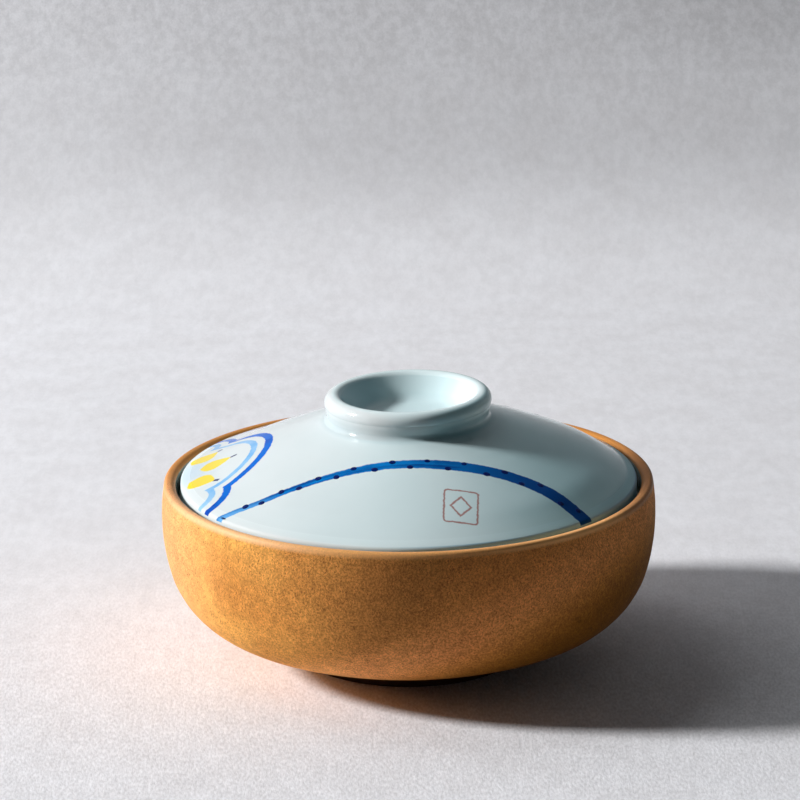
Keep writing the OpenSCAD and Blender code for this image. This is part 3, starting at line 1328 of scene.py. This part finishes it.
@dataclass
class Bowl:
    """The stoneware bowl: wall, lip, ledge, floor and foot ring in one piece.

    Attributes:
        width: Largest width, from the frame.
        height: Height of the lip, from the frame.
        seat: Height of the ledge, from the frame.
        lean_drop: Room under that height for the lip's lean.
        glaze_turn: How far down the lip's inner edge the glaze begins, as an angle.
        root_pool: How deep the glaze lies in the ledge's corner, from 0 to 1.
    """

    width: float
    height: float
    seat: float
    lip: float = 4.3 * MM
    lip_edge: float = 1.4 * MM
    lip_inner: float = 2.4 * MM
    wall: float = 5 * MM
    side_radius: float = 70 * MM
    side_turn: float = math.radians(15)
    belly_radius: float = 31.5 * MM
    belly_turn: float = math.radians(53)
    under_radius: float = 145 * MM
    base: float = 5 * MM
    floor_radius: float = 25 * MM
    foot_width: float = 78 * MM
    foot_height: float = 4.1 * MM
    foot_wall: float = 4 * MM
    foot_hollow: float = 3.2 * MM
    foot_fillet: float = 1.2 * MM
    foot_round: float = 0.6 * MM
    seat_width: float = 6 * MM
    seat_nose: float = 3 * MM
    seat_round: float = 1 * MM
    glaze_turn: float = math.radians(60)
    root_pool: float = 0.8
    lean_drop: float = 0.18 * MM
    finish: StonewareFinish = StonewareFinish()
    work: HandWork = HandWork(
        wobble=0.15 * MM, wobble_scale=16.0, ring_depth=0.05 * MM, ring_scale=260.0,
        lean=math.radians(0.12), lean_turn=-math.pi / 2, lean_outer=40 * MM, lean_inner=70 * MM,
        aside=0.0, seed=3.7,
    )

    def mouth(self) -> float:
        """Returns the radius of the opening inside the lip."""
        return self.lip_centre()[0] + self.lip_edge - self.lip

    def centres(self) -> tuple[Place, Place, Place, float]:
        """Finds the arcs that draw the wall.

        Returns:
            The centres of the side, belly and underside arcs, and the foot's angle.
        """
        under_angle = self.side_turn + self.belly_turn
        side_x = self.width / 2 - self.side_radius
        across, up = ray(-self.side_turn)
        step = self.side_radius - self.belly_radius
        belly = (side_x + step * across, step * up)
        across, up = ray(-under_angle)
        step = self.under_radius - self.belly_radius
        under = (belly[0] - step * across, belly[1] - step * up)
        foot_angle = math.acos((self.foot_width / 2 - under[0]) / self.under_radius)
        widest = self.foot_height + self.under_radius * math.sin(foot_angle) - under[1]
        belly, under = (belly[0], belly[1] + widest), (under[0], under[1] + widest)
        return (side_x, widest), belly, under, foot_angle

    def lip_centre(self) -> Place:
        """Finds the lip's tight outer edge.

        Returns:
            Its centre.
        """
        side = self.centres()[0]
        height = self.height - self.lean_drop - self.lip_edge
        arm = self.side_radius - self.lip_edge
        angle = math.asin((height - side[1]) / arm)
        return side[0] + arm * math.cos(angle), height

    def section(self) -> Section:
        """Draws the bowl from the hollow under its foot round to its floor.

        Returns:
            The half section.
        """
        side, belly, under, foot_angle = self.centres()
        under_angle = self.side_turn + self.belly_turn
        lip = self.lip_centre()
        lip_angle = angle_to(side, lip)
        mouth = self.mouth()
        foot, foot_in = self.foot_width / 2, self.foot_width / 2 - self.foot_wall
        fillet, edge, corner = self.foot_fillet, self.foot_round, self.seat_round
        quarter = math.pi / 2
        bare, glazed = Zone.BARE, Zone.GLAZED
        drawn = Section()
        drawn.put(0.0, self.foot_hollow, bare)
        drawn.line((foot_in - fillet, self.foot_hollow), bare)
        drawn.arc((foot_in - fillet, self.foot_hollow - fillet), fillet, quarter, 0, bare)
        drawn.arc((foot_in + edge, edge), edge, math.pi, 3 * quarter, bare, 0)
        drawn.line((foot - edge, 0.0), bare, 0)
        drawn.arc((foot - edge, edge), edge, -quarter, 0, bare, 0)
        drawn.arc(under, self.under_radius, -foot_angle, -under_angle, bare)
        drawn.arc(belly, self.belly_radius, -under_angle, -self.side_turn, bare)
        drawn.arc(side, self.side_radius, -self.side_turn, lip_angle, bare)
        drawn.arc(lip, self.lip_edge, lip_angle, quarter, bare)
        top = self.height - self.lean_drop
        inner = (mouth + self.lip_inner, top - self.lip_inner)
        drawn.line((inner[0], top), bare)
        drawn.arc(inner, self.lip_inner, quarter, quarter + self.glaze_turn, bare)
        drawn.arc(inner, self.lip_inner, quarter + self.glaze_turn, math.pi, glazed)
        drawn.line((mouth, self.seat + corner), glazed, 0.5)
        root_c = (mouth - corner, self.seat + corner)
        drawn.arc(root_c, corner, 0, -quarter, glazed, 0, self.root_pool)
        seat_in = mouth - self.seat_width
        drawn.line((seat_in + corner, self.seat), glazed, 0)
        drawn.arc((seat_in + corner, self.seat - corner), corner, quarter, math.pi, glazed, 0)
        nose = self.seat - self.seat_nose
        drawn.line((seat_in, nose), glazed, 0)
        root = nose - (self.width / 2 - self.wall - seat_in)
        inner_side = self.side_radius - self.wall
        root_angle = math.asin((root - side[1]) / inner_side)
        drawn.line((side[0] + inner_side * math.cos(root_angle), root), glazed)
        drawn.arc(side, inner_side, root_angle, -self.side_turn, glazed)
        drawn.arc(belly, self.belly_radius - self.wall, -self.side_turn, -under_angle, glazed)
        floor = self.foot_hollow + self.base
        inner_under = self.under_radius - self.wall
        rise = floor + self.floor_radius
        bend = (under[0] + reach(inner_under - self.floor_radius, under[1] - rise), rise)
        bend_angle = angle_to(under, bend)
        drawn.arc(under, inner_under, -under_angle, bend_angle, glazed)
        drawn.arc(bend, self.floor_radius, bend_angle, -quarter, glazed)
        drawn.line((0.0, floor), glazed)
        return drawn

    def build(self, tree: TurningTree) -> bpy.types.Object:
        """Turns the bowl, dresses it and puts it in the place of its solid.

        Args:
            tree: The tree that turns it.

        Returns:
            The bowl.
        """
        material = self.finish.material(self.height)
        piece = tree.turn(self.section(), "stoneware_bowl", self.work, material)
        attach(piece, "bowl")
        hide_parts("bowl")
        return piece


@dataclass(frozen=True)
class GlazePools:
    """How deep the glaze lies on each stretch of the lid's half section, from 0 to 1."""

    dish: float = 0.4
    dish_corner: float = 0.45
    grip_lip: float = 0.1
    groove_edge: float = 0.2
    groove: float = 0.3
    grip_side: float = 0.35
    neck: float = 0.5
    dome: float = 0.3
    edge: float = 0.15
    rim: float = 0.6
    underside: float = 0.9


@dataclass
class Lid:
    """The porcelain lid: dome, seat ring, ring grip and dish in one piece.

    Attributes:
        width: Width of the lid, from the frame.
        seat: Height of the lid's underside, from the frame.
        top: Height of the ring grip, from the frame.
        edge_height: Height above the seat of the lid's widest place.
        bare_height: Height above the rounded foot that the glaze stops at.
        groove_drop: How far below the grip's top its fine groove runs.
        groove_bed: Where its bed starts and ends, as shares of its width above its middle.
        lean_drop: Room under the top for the lid's lean.
        pools: How deep the glaze lies, from 0 to 1.
    """

    width: float
    seat: float
    top: float
    shell: float = 4 * MM
    grip_height: float = 10.1 * MM
    dome_radius: float = 330 * MM
    edge_radius: float = 1.5 * MM
    edge_height: float = 7.25 * MM
    rim: float = 5 * MM
    rim_round: float = 1.2 * MM
    rim_fillet: float = 3 * MM
    grip_width: float = 57.4 * MM
    grip_lip: float = 6.5 * MM
    grip_taper: float = math.radians(13)
    grip_fillet: float = 2 * MM
    groove_drop: float = 4.4 * MM
    groove_width: float = 0.7 * MM
    groove_depth: float = 0.08 * MM
    groove_bed: tuple[float, float] = (0.1, -0.15)
    dish_depth: float = 9 * MM
    dish_slope: float = math.radians(54)
    dish_corner: float = 5.5 * MM
    dish_wall: float = 4.5 * MM
    ceiling_radius: float = 20 * MM
    lean_drop: float = 0.5 * MM
    bare_height: float = 1.2 * MM
    pools: GlazePools = GlazePools()
    finish: PaintedGlaze = PaintedGlaze()
    work: HandWork = HandWork(
        wobble=0.16 * MM, wobble_scale=18.0, ring_depth=0.035 * MM, ring_scale=210.0,
        lean=math.radians(1.05), lean_turn=0.0, lean_outer=78.3 * MM, lean_inner=64 * MM,
        aside=0.05 * MM, seed=8.2,
    )

    def dome_centre(self, neck: Place, edge: Place) -> Place:
        """Finds the dome's centre.

        Args:
            neck: Where the grip stands on the dome.
            edge: Centre of the lid's rounded edge.

        Returns:
            The centre of the dome's arc.
        """
        neck_distance, edge_distance = self.dome_radius, self.dome_radius - self.edge_radius
        apart = math.dist(neck, edge)
        along = (apart**2 + neck_distance**2 - edge_distance**2) / (2 * apart)
        aside = reach(neck_distance, along)
        across, up = (edge[0] - neck[0]) / apart, (edge[1] - neck[1]) / apart
        return neck[0] + along * across + aside * up, neck[1] + along * up - aside * across

    def neck_centre(self, ring: Place, dome: Place) -> Place:
        """Finds the corner that touches the grip's side and the dome.

        Args:
            ring: Centre of the grip's rounded lip.
            dome: Centre of the dome's arc.

        Returns:
            The corner's centre.
        """
        way = (-math.sin(self.grip_taper), -math.cos(self.grip_taper))
        across, up = ray(-self.grip_taper)
        arm = self.grip_lip / 2 + self.grip_fillet
        away = (ring[0] + arm * across - dome[0], ring[1] + arm * up - dome[1])
        along = away[0] * way[0] + away[1] * way[1]
        aside = math.dist(away, (along * way[0], along * way[1]))
        fall = -along - reach(self.dome_radius + self.grip_fillet, aside)
        return dome[0] + away[0] + fall * way[0], dome[1] + away[1] + fall * way[1]

    def draw_dish(self, drawn: Section, ring: Place, top: float) -> None:
        """Draws the dish's level floor, its soft corner and its side up to the grip's lip.

        Args:
            drawn: The half section so far.
            ring: Centre of the grip's rounded lip.
            top: Height of the grip's lip.
        """
        quarter, slope, glazed = math.pi / 2, self.dish_slope, Zone.GLAZED
        floor = top - self.dish_depth
        bend = self.dish_corner + self.grip_lip / 2
        side = (self.dish_depth - bend * (1 - math.cos(slope))) / math.sin(slope)
        level = ring[0] - bend * math.sin(slope) - side * math.cos(slope)
        drawn.put(0.0, floor, glazed, 1, self.pools.dish)
        drawn.line((level, floor), glazed, 1, self.pools.dish)
        corner = (level, floor + self.dish_corner)
        drawn.arc(
            corner, self.dish_corner, -quarter, slope - quarter, glazed, 1, self.pools.dish_corner
        )
        across, up = ray(slope + quarter)
        half = self.grip_lip / 2
        drawn.line((ring[0] + half * across, ring[1] + half * up), glazed, 1, self.pools.dish)

    def draw_grip_side(self, drawn: Section, neck: Place, top: float) -> None:
        """Draws the grip's side down to the dome, with the fine groove that runs round it.

        Args:
            drawn: The half section so far, which ends at the grip's lip.
            neck: Centre of the corner at the grip's foot.
            top: Height of the grip's lip.
        """
        last = drawn.points[-1]
        across, up = ray(math.pi - self.grip_taper)
        foot = (neck[0] + self.grip_fillet * across, neck[1] + self.grip_fillet * up)
        steep = (foot[0] - last.radius) / (foot[1] - last.height)
        upper, lower = self.groove_bed
        pools = self.pools
        for shift, cut, pool in (
            (0.5, 0.0, pools.groove_edge),
            (upper, self.groove_depth, pools.groove),
            (lower, self.groove_depth, pools.groove),
            (-0.5, 0.0, pools.groove_edge),
        ):
            height = top - self.groove_drop + shift * self.groove_width
            radius = last.radius + (height - last.height) * steep - cut
            drawn.put(radius, height, Zone.GLAZED, 1, pool)
        drawn.line(foot, Zone.GLAZED, 1, pools.grip_side)

    def section(self) -> Section:
        """Draws the lid from the dish in its grip round to the ceiling under it.

        Returns:
            The half section.
        """
        glazed, bare = Zone.GLAZED, Zone.BARE
        quarter = math.pi / 2
        outer = self.width / 2
        top = self.top - self.lean_drop
        ring = self.grip_lip / 2
        grip = self.grip_width / 2
        ring_c = (grip - ring, top - ring)
        edge_c = (outer - self.edge_radius, self.seat + self.edge_height)
        dome_c = self.dome_centre((grip, self.top - self.grip_height), edge_c)
        edge_angle = angle_to(dome_c, edge_c)
        neck_c = self.neck_centre(ring_c, dome_c)
        neck_angle = angle_to(dome_c, neck_c)
        drawn, pools = Section(), self.pools
        self.draw_dish(drawn, ring_c, top)
        slope = self.dish_slope + quarter
        drawn.arc(ring_c, ring, slope, -self.grip_taper, glazed, 1, pools.grip_lip)
        self.draw_grip_side(drawn, neck_c, top)
        start, end = math.pi - self.grip_taper, neck_angle + math.pi
        drawn.arc(neck_c, self.grip_fillet, start, end, glazed, 1, pools.neck)
        drawn.arc(dome_c, self.dome_radius, neck_angle, edge_angle, glazed, 1, pools.dome)
        drawn.arc(edge_c, self.edge_radius, edge_angle, 0, glazed, 1, pools.edge)
        foot, inside = self.rim_round, outer - self.rim
        drawn.line((outer, self.seat + foot + self.bare_height), glazed, 0.5, pools.rim)
        drawn.line((outer, self.seat + foot), bare, 0)
        drawn.arc((outer - foot, self.seat + foot), foot, 0, -quarter, bare, 0)
        drawn.line((inside + foot, self.seat), bare, 0)
        drawn.arc((inside + foot, self.seat + foot), foot, -quarter, -math.pi, bare, 0)
        under = self.dome_radius - self.shell
        corner = inside - self.rim_fillet
        root_c = (corner, dome_c[1] + reach(under - self.rim_fillet, corner - dome_c[0]))
        root_angle = angle_to(dome_c, root_c)
        drawn.line((inside, root_c[1]), glazed, 0.5)
        drawn.arc(root_c, self.rim_fillet, 0, root_angle, glazed, 1, pools.underside)
        ceiling = self.top - self.dish_depth - self.dish_wall
        rise = ceiling - self.ceiling_radius
        bend_c = (dome_c[0] + reach(under - self.ceiling_radius, rise - dome_c[1]), rise)
        bend_angle = angle_to(dome_c, bend_c)
        drawn.arc(dome_c, under, root_angle, bend_angle, glazed)
        drawn.arc(bend_c, self.ceiling_radius, bend_angle, quarter, glazed)
        drawn.line((0.0, ceiling), glazed)
        return drawn

    def build(self, tree: TurningTree) -> bpy.types.Object:
        """Turns the lid, dresses it and puts it in the place of its solid.

        Args:
            tree: The tree that turns it.

        Returns:
            The lid.
        """
        piece = tree.turn(self.section(), "porcelain_lid", self.work, self.finish.material())
        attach(piece, "lid")
        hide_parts("lid")
        return piece


@dataclass(frozen=True)
class DotShape:
    """How a dot of thick cobalt is laid down.

    Attributes:
        stray: How far a dot lies from its even place along the stripe.
        inset: How far its middle lies inside the stripe's edge.
        reach: The furthest that it lies from the stripe's middle.
        swell: Share by which its size strays.
        longer: Its length along the stripe, as a share of its width.
        above: Height that it is dropped from.
        segments: Faces round it.
        rings: Faces from its top to its bottom.
    """

    stray: float = 0.9 * MM
    inset: float = 0.55 * MM
    reach: float = 1.75 * MM
    swell: float = 0.16
    longer: float = 1.12
    above: float = 0.2
    segments: int = 16
    rings: int = 8


class DotTree(PieceTree):
    """The Geometry Nodes tree that drops dots onto the lid along a stripe."""

    def __init__(self, course: StripeCourse, shape: DotShape) -> None:
        """Builds the tree: points along the stripe, a ray down to the lid, and the dots.

        Args:
            course: Where the stripe runs.
            shape: How the dots are laid down.
        """
        kinds = {"Lid": "Object", "Finish": "Material", "Count": "Int", "Seed": "Int"}
        floats = ("Start", "End", "Size", "Thickness", "Side")
        super().__init__("dots along a stripe", {**kinds, **dict.fromkeys(floats, "Float")})
        points = self.node("GeometryNodeMeshLine", Count=self.given["Count"])
        index = Term(self, self.node("GeometryNodeInputIndex").outputs[0])
        jitter = self.node("FunctionNodeRandomValue", {"data_type": "FLOAT"}, Seed=self.given["Seed"])
        for target, limit in zip(jitter.inputs[2:4], (-1.0, 1.0)):
            self.feed(target, limit)
        stray = Term(self, jitter.outputs[1])
        start, share = self.ask("Start"), index / (self.ask("Count") - 1.0)
        x = (self.ask("End") - start) * share + start + stray * shape.stray
        side = self.math("MODULO", index, 2.0) * 2.0 - 1.0
        inset = self.least(course.width(self, x) * 0.5 - shape.inset, shape.reach)
        y = (side * inset + course.line(self, x)) * self.ask("Side")
        over = self.combine(x, y, shape.above)
        lifted = self.node("GeometryNodeSetPosition", Geometry=points.outputs[0], Position=over)
        lid = self.node("GeometryNodeObjectInfo", Object=self.given["Lid"]).outputs["Geometry"]
        hit = self.node("GeometryNodeRaycast", Target_Geometry=lid, Ray_Direction=(0.0, 0.0, -1.0))
        missed = self.filled("FunctionNodeBooleanMath", (hit.outputs["Is Hit"],), operation="NOT")[0]
        kept = self.node(
            "GeometryNodeDeleteGeometry", Geometry=lifted.outputs[0], Selection=missed
        )
        landed = self.node(
            "GeometryNodeSetPosition",
            Geometry=kept.outputs[0], Position=hit.outputs["Hit Position"],
        )
        tilt = self.node(
            "FunctionNodeAlignRotationToVector", {"axis": "Z"}, Vector=hit.outputs["Hit Normal"]
        )
        ball = self.node(
            "GeometryNodeMeshUVSphere", Segments=shape.segments, Rings=shape.rings, Radius=1.0
        )
        wide = self.ask("Size") * (stray * shape.swell + 1.0)
        laid = self.node(
            "GeometryNodeInstanceOnPoints",
            Points=landed.outputs[0], Instance=ball.outputs[0], Rotation=tilt.outputs[0],
            Scale=self.combine(wide * shape.longer, wide, self.ask("Thickness")),
        )
        self.finish(laid.outputs[0])


@dataclass
class StripeDots:
    """Dots of thick cobalt along both edges of the painted stripes.

    Attributes:
        course: Where the stripes run.
        count: Dots on one stripe.
        left: Where the first dot of the front stripe lies.
        back_left: Where the first dot of the back stripe lies.
        right: Where the last dot lies.
        size: Half the width of a dot.
        height: How far a dot stands out.
    """

    course: StripeCourse
    count: int = 20
    left: float = -61.8 * MM
    back_left: float = -50.0 * MM
    right: float = 57.0 * MM
    size: float = 1.02 * MM
    height: float = 0.09 * MM
    seed: int = 5
    shape: DotShape = DotShape()
    finish: EnamelFinish = EnamelFinish()

    def build(self, lid: bpy.types.Object) -> list[bpy.types.Object]:
        """Lays the dots of the front and the back stripe onto the lid.

        Args:
            lid: The finished lid.

        Returns:
            The two rows of dots.
        """
        tree = DotTree(self.course, self.shape)
        settings = {
            "Lid": lid, "Finish": self.finish.material(), "Count": self.count, "Seed": self.seed,
            "End": self.right, "Size": self.size, "Thickness": self.height,
        }
        pieces = []
        for name, side, start in (
            ("front_stripe_dots", 1.0, self.left),
            ("back_stripe_dots", -1.0, self.back_left),
        ):
            holder = placed(name + "_holder", bpy.data.meshes.new(name + "_holder"))
            piece = tree.make(holder, name, {**settings, "Start": start, "Side": side})
            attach(piece, "lid")
            pieces.append(piece)
        return pieces


@dataclass(frozen=True)
class Lamp:
    """A round soft lamp, aimed at the bowl.

    Attributes:
        name: The lamp's name.
        azimuth: Direction it stands in, in degrees, anticlockwise from +X.
        elevation: Its height above the horizon, in degrees.
        distance: Its distance from the bowl.
        size: Its width.
        power: Its power in watts.
        colour: Its colour.
        mirrored: Whether glossy surfaces show it.
    """

    name: str
    azimuth: float
    elevation: float
    distance: float
    size: float
    power: float
    colour: Colour
    mirrored: bool = True


@dataclass
class Studio:
    """Camera, lamps, floor and fill round the bowl.

    Attributes:
        rim_height: Height of the bowl's lip.
        rim_drop: How far below it the camera and the lamps aim.
        picture: Width and height of the picture, in pixels.
        rim_pixel: Where the rim's middle falls in the picture.
        focal_pixels: The lens's focal length, in pixels.
        distance: From the camera to the rim's middle.
        elevation: Height of the camera above the horizon, as an angle.
        roll: How far the camera is tipped to the side.
        sweep_from: Where the paper starts to rise, behind the bowl.
        sweep_radius: Radius of the paper's rise.
        sweep_steps: Faces along that rise.
        flag_x: How far to the side the black card stands.
        flag_edge: Where its rear edge stands.
        flag_reach: Where its front edge stands.
        fill: Colour of the even light from all round.
        card: Colour of the black card.
    """

    rim_height: float
    rim_drop: float = 2.3 * MM
    picture: int = 800
    rim_pixel: Place = (408.47, 482.23)
    focal_pixels: float = 4598.0
    distance: float = 1.5832
    elevation: float = math.radians(17.72)
    roll: float = math.radians(0.492)
    sensor: float = 36.0
    floor_size: float = 12.0
    sweep_from: float = 0.42
    sweep_radius: float = 0.23
    sweep_steps: int = 24
    wall_height: float = 1.3
    flag_x: float = -0.35
    flag_edge: float = -0.17
    flag_reach: float = -3.0
    flag_height: float = 1.0
    fill: Colour = (0.046, 0.0505, 0.0525)
    card: Colour = (0.01, 0.01, 0.01)
    lamps: tuple[Lamp, ...] = (
        Lamp(
            "key", azimuth=180.5, elevation=27.0, distance=4.0, size=0.62, power=238.0,
            colour=(0.99, 0.985, 0.985),
        ),
        Lamp(
            "glow", azimuth=140.0, elevation=50.0, distance=4.0, size=2.5, power=36.0,
            colour=(0.97, 0.985, 1.0), mirrored=False,
        ),
    )

    def aim(self) -> Vector:
        """Returns the middle of the rim, which the camera and the lamps are set from."""
        return Vector((0.0, 0.0, self.rim_height - self.rim_drop))

    def camera(self) -> None:
        """Adds the camera at the viewing angle of the photograph."""
        lens = bpy.data.cameras.new("camera")
        lens.sensor_width = self.sensor
        lens.lens = self.focal_pixels * self.sensor / self.picture
        eye = placed("camera", lens)
        way = Vector((0.0, -math.cos(self.elevation), math.sin(self.elevation)))
        eye.location = self.aim() + way * self.distance
        middle = self.picture / 2
        sight = Vector((
            (self.rim_pixel[0] - middle) / self.focal_pixels,
            (middle - self.rim_pixel[1]) / self.focal_pixels,
            -1.0,
        ))
        look = (-way).to_track_quat("-Z", "Y")
        aside = Vector((0.0, 0.0, -1.0)).rotation_difference(sight)
        roll = Quaternion((0.0, 0.0, 1.0), -self.roll)
        eye.rotation_mode = "QUATERNION"
        eye.rotation_quaternion = look @ roll @ aside.inverted()
        bpy.context.scene.camera = eye

    def light(self) -> None:
        """Adds the lamps and the even fill."""
        for lamp in self.lamps:
            data = bpy.data.lights.new(lamp.name, "AREA")
            data.shape = "DISK"
            data.size = lamp.size
            data.energy = lamp.power
            data.color = lamp.colour
            body = placed(lamp.name, data)
            azimuth, elevation = math.radians(lamp.azimuth), math.radians(lamp.elevation)
            way = Vector((
                math.cos(elevation) * math.cos(azimuth),
                math.cos(elevation) * math.sin(azimuth),
                math.sin(elevation),
            ))
            body.visible_glossy = lamp.mirrored
            body.location = self.aim() + way * lamp.distance
            body.rotation_mode = "QUATERNION"
            body.rotation_quaternion = (-way).to_track_quat("-Z", "Y")
        world = bpy.data.worlds.new("fill")
        world.use_nodes = True
        world.node_tree.nodes["Background"].inputs["Color"].default_value = (*self.fill, 1.0)
        bpy.context.scene.world = world

    def backdrop(self) -> None:
        """Lays the plain pale paper, flat under the bowl and swept up behind it."""
        half = self.floor_size / 2
        steps, rise = self.sweep_steps, self.sweep_radius
        profile = [(-half, 0.0), (self.sweep_from, 0.0)]
        for step in range(1, steps + 1):
            across, up = ray(-math.pi / 2 + math.pi / 2 * step / steps)
            profile.append((self.sweep_from + rise * across, rise + rise * up))
        profile.append((self.sweep_from + rise, self.wall_height))
        places = [(side * half, back, height) for back, height in profile for side in (-1, 1)]
        faces = [(2 * i, 2 * i + 1, 2 * i + 3, 2 * i + 2) for i in range(len(profile) - 1)]
        paper = self.stand("paper", places, faces, PaperFinish().material())
        paper.data.shade_smooth()

    def flag(self) -> None:
        """Stands a black card to the left, which keeps the light off the paper in front."""
        places = [
            (self.flag_x, self.flag_reach, 0.0),
            (self.flag_x, self.flag_edge, 0.0),
            (self.flag_x, self.flag_edge, self.flag_height),
            (self.flag_x, self.flag_reach, self.flag_height),
        ]
        graph = ShaderGraph("black card")
        graph.shader.inputs["Base Color"].default_value = (*self.card, 1.0)
        card = self.stand("flag", places, [(0, 1, 2, 3)], graph.material)
        card.visible_camera = False
        card.visible_glossy = False

    def stand(
        self, name: str, places: list[tuple], faces: list[tuple], finish: bpy.types.Material
    ) -> bpy.types.Object:
        """Puts a sheet into the scene as part of the stage.

        Args:
            name: The sheet's name.
            places: Its corners.
            faces: The corners of each face.
            finish: Its material.

        Returns:
            The sheet.
        """
        mesh = bpy.data.meshes.new(name)
        mesh.from_pydata(places, [], faces)
        mesh.materials.append(finish)
        body = placed(name, mesh)
        return body


def main() -> None:
    """Builds the bowl, the lid and its dots, then the studio round them."""
    logging.basicConfig(level=logging.INFO, format="%(name)s: %(message)s")
    bpy.context.scene.view_settings.view_transform = "Standard"
    bowl_low, bowl_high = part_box("bowl")
    lid_low, lid_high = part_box("lid")
    bowl = Bowl(width=bowl_high.x - bowl_low.x, height=bowl_high.z, seat=lid_low.z)
    lid = Lid(width=lid_high.x - lid_low.x, seat=lid_low.z, top=lid_high.z)
    tree = TurningTree()
    studio = Studio(rim_height=bowl.height)
    studio.camera()
    pieces = [bowl.build(tree), lid.build(tree)]
    pieces += StripeDots(lid.finish.course).build(pieces[-1])
    for piece in pieces:
        log.info("%s: %d faces", piece.name, len(piece.data.polygons))
    studio.light()
    studio.backdrop()
    studio.flag()


if __name__ == "__main__":
    main()
